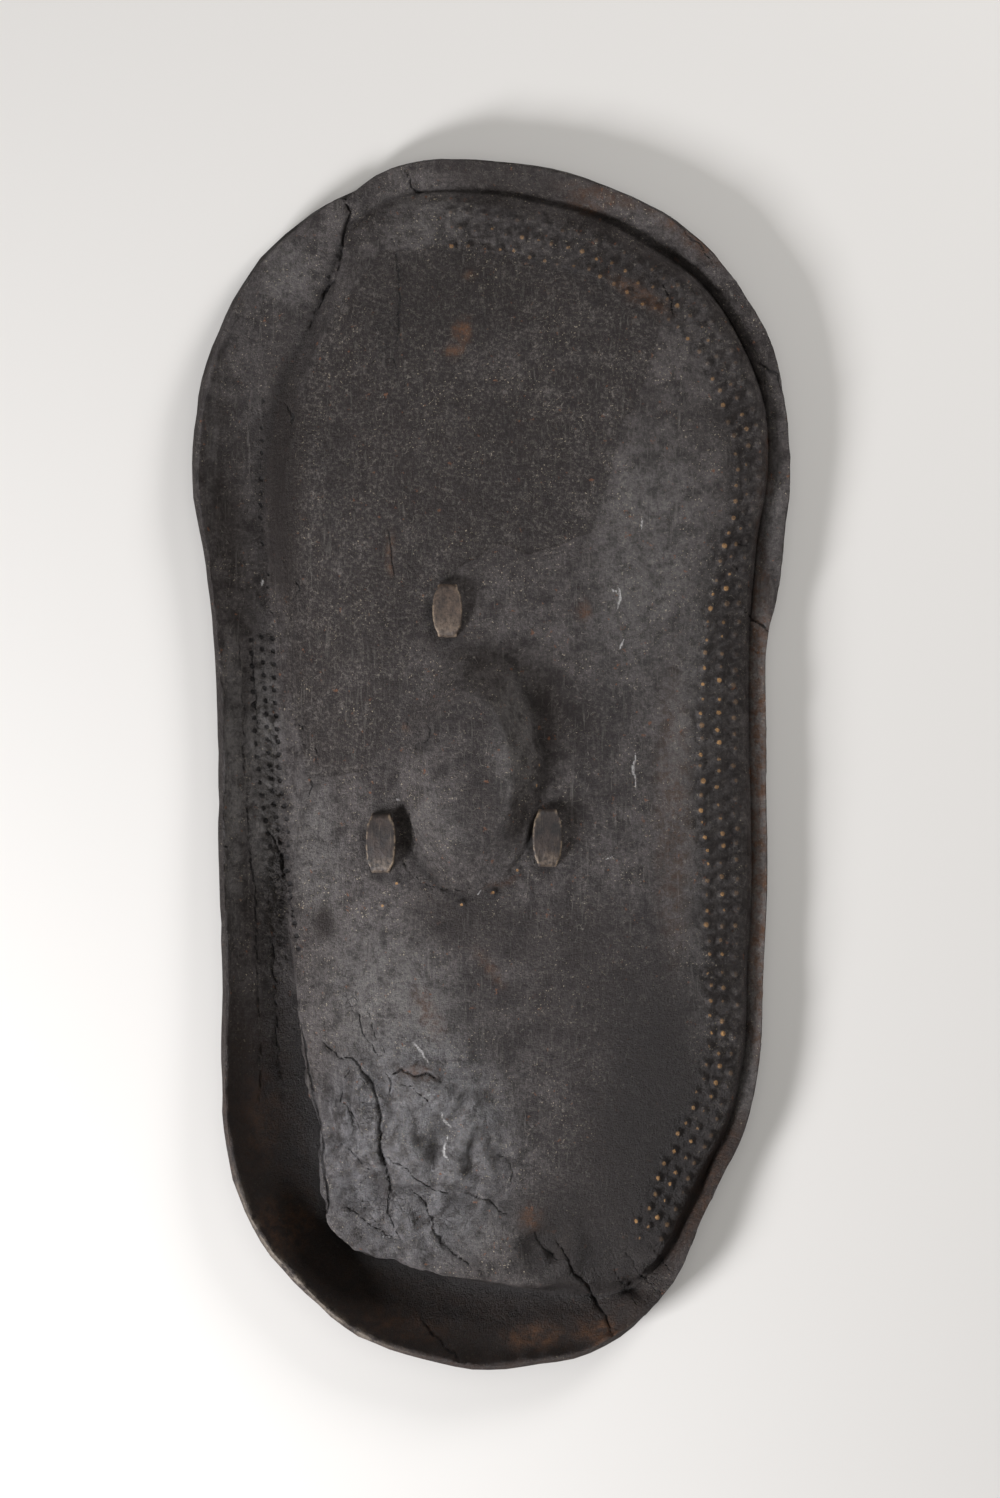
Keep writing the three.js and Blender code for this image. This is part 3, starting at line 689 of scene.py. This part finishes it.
# Broad patches of painted shade over the field, heaviest at the lower right.
shaded = patches([
    (420, 300, 100, 90, 0, 0.24), (655, 1110, 75, 230, 0, 0.5), (600, 1270, 80, 60, -30, 0.45),
    (284, 1000, 18, 90, -10, 0.3), (540, 640, 26, 60, 0, 0.2), (330, 470, 36, 120, 0, 0.2),
])
# Darker over the flange at the lower left, then painted shade in the creases between the swell's
# folds.
painted_shade = np.maximum(np.maximum(painted_shade, shaded), 0.5 * flange * low_left)
painted_shade = np.maximum(painted_shade, 0.6 * crumple * (1 - smoothstep(0.02, 0.15, folds)))
painted_shade = np.maximum(painted_shade, 0.45 * crumple * (1 - smoothstep(0.02, 0.12, small_folds)))
paint(hide_data, "painted_shade", painted_shade * front_side)
paint(hide_data, "pit_near", (1 - pit_gap * UNIT / 0.006) * front_side)
paint(hide_data, "crack_gap", np.where(front_side > 0, crack_gap / 6, 1))
paint(hide_data, "flake_gap", 0.5 + flake_gap / 40)
scratch_and_glint_gap = np.min([distance_to_line(warped, line, 1.5) for line in SCRATCHES_AND_GLINTS], axis=0)
paint(hide_data, "scratch_and_glint_gap", np.where(front_side > 0, scratch_and_glint_gap / 10, 1))
paint(hide_data, "crazed", patches([
    (348, 985, 15, 32, -18, 1.0), (372, 1100, 20, 80, -8, 0.55), (380, 1195, 42, 42, 0, 0.6),
    (450, 1220, 60, 40, 20, 0.4), (650, 1290, 26, 22, 0, 0.8), (385, 335, 24, 40, 0, 0.5),
    (430, 1335, 60, 22, 10, 0.5), (585, 1290, 26, 44, -20, 0.7), (275, 880, 22, 90, 0, 0.7),
    (690, 250, 40, 20, 40, 0.5), (745, 560, 14, 70, 0, 0.4), (420, 745, 14, 30, 0, 0.4),
]) * front_side)
# Grey dust and polish on what hands and shelves have rubbed, with painted light that brightens the
# right rim and the right flank of the boss.
dust_and_painted_light = patches([
    (318, 850, 40, 110, -6, 0.6), (395, 1010, 95, 125, -25, 0.85), (425, 1120, 100, 100, 0, 0.8),
    (640, 560, 75, 190, 8, 0.55), (690, 760, 50, 330, 0, 0.35), (440, 830, 50, 60, 0, 0.3),
    (500, 175, 90, 16, 4, 0.15), (640, 215, 70, 14, 30, 0.1), (210, 460, 9, 110, 0, 0.3),
    (232, 790, 18, 200, 0, 0.9), (425, 215, 60, 50, 0, 0.3), (285, 270, 40, 50, 0, 0.35),
    (460, 1225, 90, 44, 0, 0.45), (775, 500, 12, 120, 0, 0.5), (760, 800, 14, 330, 0, 1.3),
    (748, 1080, 12, 80, 8, 0.6), (550, 1255, 30, 30, 0, 0.6), (262, 770, 28, 170, 0, 0.95),
    (512, 740, 32, 90, 0, 0.5), (330, 1330, 60, 14, 30, 0.5),
])
paint(hide_data, "dust_and_painted_light", dust_and_painted_light * front_side)
# Bare dark hide: mostly low down and along the walls.
bare = patches([
    (705, 1190, 34, 130, 27, 0.9), (640, 1310, 40, 40, 0, 0.9),
    (326, 920, 13, 24, 0, 1.0), (660, 1120, 60, 230, 0, 1.0),
    (640, 1150, 100, 190, 0, 1.0), (575, 1230, 80, 90, 0, 0.9), (283, 480, 30, 190, 0, 0.95),
    (548, 700, 22, 60, 0, 0.3), (455, 640, 60, 30, 0, 0.55), (590, 1000, 120, 150, 0, 0.5),
    (660, 290, 50, 50, 0, 0.3), (228, 470, 22, 130, 0, 0.35), (360, 430, 60, 90, 0, 0.25),
    (500, 930, 130, 46, 20, 0.5), (520, 178, 150, 22, 8, 0.5), (735, 450, 22, 90, 0, 0.4),
    (720, 850, 40, 300, 0, 0.35),
    (480, 480, 150, 130, 0, 0.3), (390, 620, 60, 110, 0, 0.3), (470, 290, 160, 60, 0, 0.3),
])
bare = np.maximum(bare, flange * low_left) * front_side
bare = np.maximum(bare, 0.7 * smoothstep(2.97, 3.02, down_sheet))
paint(hide_data, "bare", bare)
paint(hide_data, "bulge", bulge * front_side)
# A painted highlight along the cut edge where it catches the light, mostly at the lower left and
# along the right.
edge_zone = np.exp(-(((down_sheet - 3.05) / 0.08) ** 2))
edge_highlight = patches([(300, 1290, 150, 190, 0, 1.2), (770, 620, 20, 420, 0, 0.5)])
paint(hide_data, "cut_edge_highlight", edge_zone * np.clip(edge_highlight, 0, 1))


def srgb(code):
    """A colour given as an sRGB hex string, in linear light."""
    values = [int(code[i : i + 2], 16) / 255 for i in (0, 2, 4)]
    linear = [v / 12.92 if v <= 0.04045 else ((v + 0.055) / 1.055) ** 2.4 for v in values]
    return (*linear, 1)


def add_node(tree, kind, settings=None, links=None):
    """Adds a node, sets its fields and sockets, and links what feeds it."""
    node = tree.nodes.new(kind)
    for name, value in (settings or {}).items():
        if isinstance(name, str) and hasattr(node, name):
            setattr(node, name, value)
        else:
            node.inputs[name].default_value = value
    for name, source in (links or {}).items():
        tree.links.new(source, node.inputs[name])
    return node


# Aged rawhide: dried, oiled by hands and smoke to a near-black brown, with grey dust in its
# grain. The outer layer has flaked in places, and the punched dots are worn to tan.
# Its colour also carries painted shade in hollows, painted glints and sheen on the swell, and a
# painted highlight on the cut edge.
rawhide = bpy.data.materials.new("aged_rawhide")
rawhide.use_nodes = True
tree = rawhide.node_tree
tree.nodes.clear()
place = add_node(tree, "ShaderNodeTexCoord").outputs["Object"]


def clouds(size_mm, detail=4, roughness=0.6, at=None):
    """Cloudy noise with lumps of a real size in millimetres."""
    settings = {"Scale": 1000 / size_mm, "Detail": detail, "Roughness": roughness}
    return add_node(tree, "ShaderNodeTexNoise", settings, {"Vector": at or place}).outputs["Fac"]


def shade(value, low, high, to_low=0.0, to_high=1.0):
    """Stretches a value between two limits to a new pair of limits."""
    settings = {1: low, 2: high, 3: to_low, 4: to_high}
    return add_node(tree, "ShaderNodeMapRange", settings, {0: value}).outputs[0]


def combine(how, a, b):
    links = {i: v for i, v in enumerate((a, b)) if not isinstance(v, (int, float))}
    settings = {i: v for i, v in enumerate((a, b)) if isinstance(v, (int, float))}
    settings["operation"] = how
    return add_node(tree, "ShaderNodeMath", settings, links).outputs[0]


def times(a, b):
    return combine("MULTIPLY", a, b)


def tint(base, colour, amount):
    """Lays a colour over another by an amount."""
    settings = {"data_type": "RGBA", 7: srgb(colour)}
    links = {0: amount}
    if isinstance(base, str):
        settings[6] = srgb(base)
    else:
        links[6] = base
    return add_node(tree, "ShaderNodeMix", settings, links).outputs[2]


def painted(name):
    return add_node(tree, "ShaderNodeAttribute", {"attribute_name": name}).outputs["Fac"]


def bump(height, millimetres, strength=1.0, under=None):
    settings = {"Strength": strength, "Distance": millimetres / 1000}
    links = {"Height": height}
    if under:
        links["Normal"] = under
    return add_node(tree, "ShaderNodeBump", settings, links).outputs["Normal"]


# Streaks run down the shield, about 14 times as long as wide. The turn comes after the
# squeeze, so it only picks another part of the noise.
upright = add_node(
    tree, "ShaderNodeMapping", {"Rotation": (0, 0, math.radians(-14)), "Scale": (1, 0.07, 1)},
    {"Vector": place},
).outputs[0]
streaks = clouds(2.6, 3, 0.6, upright)
grain = clouds(3.4, 7, 0.8)
specks = clouds(1.8, 2, 0.5)
flakes = clouds(11, 7, 0.74)
mottle = clouds(22, 5, 0.65)
broad = clouds(75, 4, 0.55)
flaked = shade(combine("ADD", painted("flake_gap"), times(clouds(7), 0.05)), 0.50, 0.55, 1, 0)

smooth = shade(flaked, 0, 1, 0.6, 1)
colour = tint("29211e", "585250", shade(broad, 0.32, 0.7))
colour = tint(colour, "201713", shade(mottle, 0.46, 0.62, 0, 0.8))
colour = tint(colour, "261d19", times(flaked, shade(mottle, 0.3, 0.6, 0.35, 0.85)))
# Grey dust, with painted light on the right rim and the boss's right flank.
colour = tint(colour, "76726f", times(painted("dust_and_painted_light"), shade(mottle, 0.38, 0.6, 0.9, 0.5)))
# A cool pale grey painted sheen over the swell at the lower left.
colour = tint(colour, "7a797b", times(painted("bulge"), shade(flakes, 0.38, 0.6, 0.75, 0.15)))
colour = tint(colour, "24170f", times(painted("bare"), shade(flakes, 0.35, 0.6, 1.0, 0.8)))
colour = tint(colour, "19120f", shade(flakes, 0.5, 0.62, 0, 0.55))
colour = tint(colour, "77716c", times(smooth, shade(flakes, 0.3, 0.42, 0.45, 0)))
colour = tint(colour, "19120f", times(smooth, shade(grain, 0.47, 0.62, 0, 0.75)))
dust_grain = times(smooth, shade(grain, 0.37, 0.49, 0.62, 0))
colour = tint(colour, "837c73", times(dust_grain, shade(mottle, 0.4, 0.6, 0.85, 0.25)))
colour = tint(colour, "7a756e", times(shade(streaks, 0.56, 0.72, 0, 0.5), shade(mottle, 0.4, 0.65)))
colour = tint(colour, "1c1614", times(shade(streaks, 0.3, 0.42, 0.5, 0), shade(mottle, 0.6, 0.4)))
pale_specks = times(shade(specks, 0.66, 0.71, 0, 0.85), shade(clouds(38, 3), 0.46, 0.58))
colour = tint(colour, "b3a78f", pale_specks)
hair = combine("ABSOLUTE", combine("SUBTRACT", clouds(10, 2, 0.4), 0.5), 0.0)
hair = times(shade(hair, 0.0, 0.011, 1, 0), shade(clouds(6, 2), 0.52, 0.6))
colour = tint(colour, "8f887d", times(hair, 0.6))
colour = tint(colour, "7a4b2c", shade(clouds(7, 3), 0.67, 0.73, 0, 0.7))
colour = tint(colour, "170d07", times(painted("bare"), 0.78))
stain = times(painted("stained"), shade(flakes, 0.42, 0.62, 0.1, 1))
stain = times(stain, shade(grain, 0.36, 0.54, 0.35, 1))
colour = tint(colour, "7c5231", stain)
# Painted shade: near black where the painted shade mask is strong.
colour = tint(colour, "140c07", times(painted("painted_shade"), 0.9))
# Painted shade round the foot of each dot.
colour = tint(colour, "17110f", times(painted("dot_foot_shade"), 0.45))
pit = shade(combine("ADD", painted("pit_near"), times(clouds(2.5), 0.2)), 0.66, 0.8)
# Painted shade: the pits are coloured near black.
colour = tint(colour, "0e0a09", times(pit, 0.85))
tip = shade(combine("ADD", painted("dot_tip"), times(clouds(3), 0.35)), 0.62, 0.78)
tip = times(tip, times(painted("worn"), shade(grain, 0.36, 0.56, 1.5, 0.5)))
colour = tint(colour, "bd8f58", tip)
# A net of fine cracks with cells about 6 mm across, its lines bent by softer noise.
wander = add_node(
    tree, "ShaderNodeTexNoise", {"Scale": 1000 / 9, "Detail": 3}, {"Vector": place}
).outputs["Color"]
bent_place = add_node(
    tree, "ShaderNodeMix", {"data_type": "VECTOR", 0: 0.006}, {4: place, 5: wander}
).outputs[1]
crackle = add_node(
    tree, "ShaderNodeTexVoronoi", {"feature": "DISTANCE_TO_EDGE", "Scale": 1000 / 6},
    {"Vector": bent_place},
).outputs["Distance"]
crackle_line = shade(crackle, 0.0, 0.1, 1, 0)
crackle_line = times(crackle_line, times(painted("crazed"), shade(clouds(16), 0.42, 0.55)))
crack = shade(combine("ADD", painted("crack_gap"), times(clouds(3), 0.22)), 0.16, 0.26, 1, 0)
# Painted shade: the cracks and the net of fine cracks are coloured near black.
colour = tint(colour, "0e0a09", combine("MAXIMUM", times(crackle_line, 0.6), times(crack, 0.85)))
# Pale scratches, and painted glints on the swell.
scratch_and_glint = shade(combine("ADD", painted("scratch_and_glint_gap"), times(clouds(2), 0.25)), 0.16, 0.28, 1, 0)
colour = tint(colour, "c9c6c2", times(scratch_and_glint, 0.8))
# Painted highlight on the cut edge.
painted_edge_highlight = times(painted("cut_edge_highlight"), shade(flakes, 0.42, 0.58, 0, 0.9))
colour = tint(colour, "857b6e", painted_edge_highlight)

normal = bump(mottle, 5, 0.35)
normal = bump(flakes, 2.2, 0.45, normal)
normal = bump(grain, 3.0, 0.9, normal)
normal = bump(clouds(1.7, 2, 0.5), 0.7, 0.7, normal)
normal = bump(streaks, 0.6, 0.5, normal)
normal = bump(flaked, -0.8, 0.8, normal)
hollows = combine("MAXIMUM", pit, combine("MAXIMUM", crackle_line, crack))
normal = bump(hollows, -1.6, 0.9, normal)
normal = bump(hair, 0.4, 0.5, normal)

dry = shade(grain, 0.3, 0.7, 0.5, 0.72)
dry = combine("SUBTRACT", dry, times(painted("bulge"), shade(mottle, 0.35, 0.65, 0.44, 0.2)))
dry = combine("SUBTRACT", dry, times(painted("dust_and_painted_light"), 0.06))
skin = add_node(
    tree, "ShaderNodeBsdfPrincipled", {"IOR": 1.5, "Specular IOR Level": 0.42},
    {"Base Color": colour, "Roughness": dry, "Normal": normal},
)
add_node(tree, "ShaderNodeOutputMaterial", None, {"Surface": skin.outputs[0]})
hide.data.materials.append(rawhide)

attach(hide, "root")
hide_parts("hide")


# ---------------------------------------------------------------------------
# The grip strap. A forked strip of the same hide, about 4 mm thick, laced through three pairs of
# slits while it was wet: its stem crosses the hollow of the boss behind as the grip, and
# its three ends show on the front as barrel-shaped tabs.
# ---------------------------------------------------------------------------

STRAP_GRID = 0.0011
# The tabs from the top: centre and half length on the drawing.
TABS = [(448, 612, 28), (382, 842, 32), (547, 837, 31)]
TAB_HEIGHT = 0.06  # what is higher than this shows on the front
TAB_SHORTENING = 0.13
MIDDLE_SWELL = 0.09
END_SWELL = 0.02
LOWER_ENDS = [(384, 866), (550, 862), (449, 630)]

solid_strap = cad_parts["grip_strap"]
strap_mesh = bmesh.new()
strap_mesh.from_mesh(solid_strap.data)
strap_mesh.transform(solid_strap.matrix_world)
bmesh.ops.remove_doubles(strap_mesh, verts=strap_mesh.verts, dist=1e-5)
strap_data = bpy.data.meshes.new("laced_strap")
strap_mesh.to_mesh(strap_data)
strap_mesh.free()
strap = bpy.data.objects.new("laced_strap", strap_data)
bpy.context.scene.collection.objects.link(strap)
even = strap.modifiers.new("even_skin", "REMESH")
even.mode = "VOXEL"
even.voxel_size = STRAP_GRID
shaped = strap.evaluated_get(bpy.context.evaluated_depsgraph_get())
strap.data = bpy.data.meshes.new_from_object(shaped)
strap.modifiers.clear()
strap_data = strap.data

strap_mesh = bmesh.new()
strap_mesh.from_mesh(strap_data)
strap_mesh.verts.index_update()
ends = np.array([(e.verts[0].index, e.verts[1].index) for e in strap_mesh.edges])
points = np.array([v.co[:] for v in strap_mesh.verts])
beside = np.bincount(ends.ravel())[:, None]
# Smoothing in and out by turns rounds the corners and keeps the thickness.
for pull in (0.6, -0.63) * 16:
    total = np.zeros_like(points)
    for a, b in (ends.T, ends.T[::-1]):
        np.add.at(total, a, points[b])
    points += pull * (total / beside - points)
for vert, point in zip(strap_mesh.verts, points):
    vert.co = point
strap_mesh.normal_update()
# The three loops are drawn in a little, and their tabs swell in their middles.
for tab_x, tab_y, half in TABS:
    tab = np.array([*(on_sheet(tab_x, tab_y) + LIES_AT[:2]), 0])
    along = np.abs(points[:, 1] - tab[1]) / (half * UNIT)
    aside, down = points[:, 0] - tab[0], points[:, 1] - tab[1]
    held = 1 - smoothstep(0.019, 0.03, np.abs(aside))
    held = held * (1 - smoothstep(33, 60, np.abs(down) / UNIT))
    points[:, 1] -= TAB_SHORTENING * down * held
    near = (np.abs(points[:, 0] - tab[0]) < 0.016) & (along < 1) & (points[:, 2] > TAB_HEIGHT)
    swell = np.where(along < 0.5, MIDDLE_SWELL * (1 - (along / 0.5) ** 2),
                     END_SWELL * np.sin(np.pi * np.clip((along - 0.5) / 0.5, 0, 1)))
    points[near, 0] += (points[near, 0] - tab[0]) * swell[near]
slope = np.array([v.normal[:] for v in strap_mesh.verts])
# How sharply the skin bends at each point: cut edges stand out and are worn pale.
bend = np.zeros(len(points))
for a, b in (ends.T, ends.T[::-1]):
    step = points[b] - points[a]
    lean = -np.sum(step * slope[a], axis=1) / np.linalg.norm(step, axis=1)
    np.add.at(bend, a, lean)
relief = 0.00030 * rough(points + 2.0, 0.014) + 0.00014 * rough(points + 5.0, 0.004)
relief += 0.00018 * rough(points * (1, 0.2, 1) + 9.0, 0.005, 2)
points += slope * relief[:, None]
for vert, point in zip(strap_mesh.verts, points):
    vert.co = point
for face in strap_mesh.faces:
    face.smooth = True
strap_mesh.to_mesh(strap_data)
strap_mesh.free()
# Each round spreads the bend over a point's neighbours, of which there are four or so.
for _ in range(3):
    spread = bend.copy()
    for a, b in (ends.T, ends.T[::-1]):
        np.add.at(spread, a, bend[b])
    bend = spread / 5
strap_drawn = sheet_of(points - LIES_AT)
lower_ends = np.zeros(len(points))
for end_x, end_y in LOWER_ENDS:
    off = np.hypot((strap_drawn[:, 0] - end_x) / 17, (strap_drawn[:, 1] - end_y) / 15)
    lower_ends = np.maximum(lower_ends, 1 - smoothstep(0.3, 1, off))
paint(strap_data, "rubbed_end", lower_ends)
from_upper = np.hypot(strap_drawn[:, 0] - TABS[0][0], strap_drawn[:, 1] - TABS[0][1])
paint(strap_data, "upper_tab", 1 - smoothstep(34, 60, from_upper))
paint(strap_data, "worn_edge", smoothstep(0.3, 0.9, bend / max(np.percentile(bend, 98), 1e-6)))

# The strap's hide: browner than the shield and rubbed, its cut edges dried pale.
strap_hide = bpy.data.materials.new("laced_rawhide")
strap_hide.use_nodes = True
tree = strap_hide.node_tree
tree.nodes.clear()
place = add_node(tree, "ShaderNodeTexCoord").outputs["Object"]
upright = add_node(
    tree, "ShaderNodeMapping", {"Scale": (1, 0.12, 1)}, {"Vector": place}
).outputs[0]
streaks = clouds(2.4, 3, 0.6, upright)
grain = clouds(2.2, 4, 0.7)
colour = tint("14100e", "372c26", shade(clouds(12), 0.34, 0.66))
colour = tint(colour, "5c4c3f", times(painted("upper_tab"), shade(clouds(8), 0.38, 0.62, 0.15, 0.9)))
colour = tint(colour, "6a5c4e", times(painted("rubbed_end"), shade(clouds(5), 0.4, 0.6, 0.1, 0.75)))
colour = tint(colour, "1d1614", shade(grain, 0.5, 0.64, 0, 0.6))
colour = tint(colour, "6d6153", shade(streaks, 0.56, 0.7, 0, 0.3))
colour = tint(colour, "1a1412", shade(streaks, 0.3, 0.42, 0.3, 0))
colour = tint(colour, "96826a", times(painted("worn_edge"), shade(clouds(5), 0.44, 0.62, 0, 0.7)))
normal = bump(grain, 1.0, 0.6)
normal = bump(streaks, 0.9, 0.6, normal)
skin = add_node(
    tree, "ShaderNodeBsdfPrincipled", {"IOR": 1.5},
    {"Base Color": colour, "Roughness": shade(grain, 0.3, 0.7, 0.46, 0.68), "Normal": normal},
)
add_node(tree, "ShaderNodeOutputMaterial", None, {"Surface": skin.outputs[0]})
strap_data.materials.append(strap_hide)

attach(strap, "root")
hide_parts("grip_strap")


# ---------------------------------------------------------------------------
# The room: a pale floor, one strong soft light from the lower left, a weaker one from the
# upper right, a faint wide one overhead, and a camera straight above.
# ---------------------------------------------------------------------------

floor_mesh = bmesh.new()
bmesh.ops.create_grid(floor_mesh, x_segments=1, y_segments=1, size=6)
floor_data = bpy.data.meshes.new("floor")
floor_mesh.to_mesh(floor_data)
floor_mesh.free()
floor = bpy.data.objects.new("floor", floor_data)
bpy.context.scene.collection.objects.link(floor)
pale = bpy.data.materials.new("pale_floor")
pale.use_nodes = True
pale_skin = pale.node_tree.nodes["Principled BSDF"]
pale_skin.inputs["Base Color"].default_value = srgb("d6d3cd")
pale_skin.inputs["Roughness"].default_value = 0.9
floor_data.materials.append(pale)


def soft_light(name, place, size, power, colour):
    lamp = bpy.data.lights.new(name, "AREA")
    lamp.shape = "RECTANGLE"
    lamp.size, lamp.size_y = size
    lamp.energy = power
    lamp.color = srgb(colour)[:3]
    light = bpy.data.objects.new(name, lamp)
    light.location = place
    light.rotation_euler = Vector(place).to_track_quat("Z", "Y").to_euler()
    bpy.context.scene.collection.objects.link(light)


soft_light("lower_left", (-2.0, -1.7, 1.2), (0.7, 0.7), 142, "f8f9ff")
soft_light("upper_right", (1.7, 1.9, 1.7), (1.1, 1.1), 50, "fbfbff")
soft_light("overhead", (0.2, 0.2, 3.2), (2.4, 2.4), 20, "ffffff")
world = bpy.data.worlds.new("studio")
world.use_nodes = True
world.node_tree.nodes["Background"].inputs["Color"].default_value = srgb("ebe9e6")
world.node_tree.nodes["Background"].inputs["Strength"].default_value = 0.16
bpy.context.scene.world = world
bpy.context.scene.view_settings.view_transform = "Standard"

# The photograph's frame is 1000 by 1498 units of the drawing, its middle at 500, 749.
FRAME_TALL = 1498
CAMERA_HEIGHT = 5.0
TRUE_HEIGHT = 0.03  # the frame is to scale at this height above the floor
SENSOR = 36
lens = bpy.data.cameras.new("camera")
lens.sensor_fit = "VERTICAL"
lens.sensor_height = SENSOR
lens.lens = SENSOR * (CAMERA_HEIGHT - TRUE_HEIGHT) / (FRAME_TALL * UNIT)
camera = bpy.data.objects.new("camera", lens)
centre = on_sheet(500, 749)
camera.location = (centre[0] + LIES_AT[0], centre[1] + LIES_AT[1], CAMERA_HEIGHT)
bpy.context.scene.collection.objects.link(camera)
bpy.context.scene.camera = camera
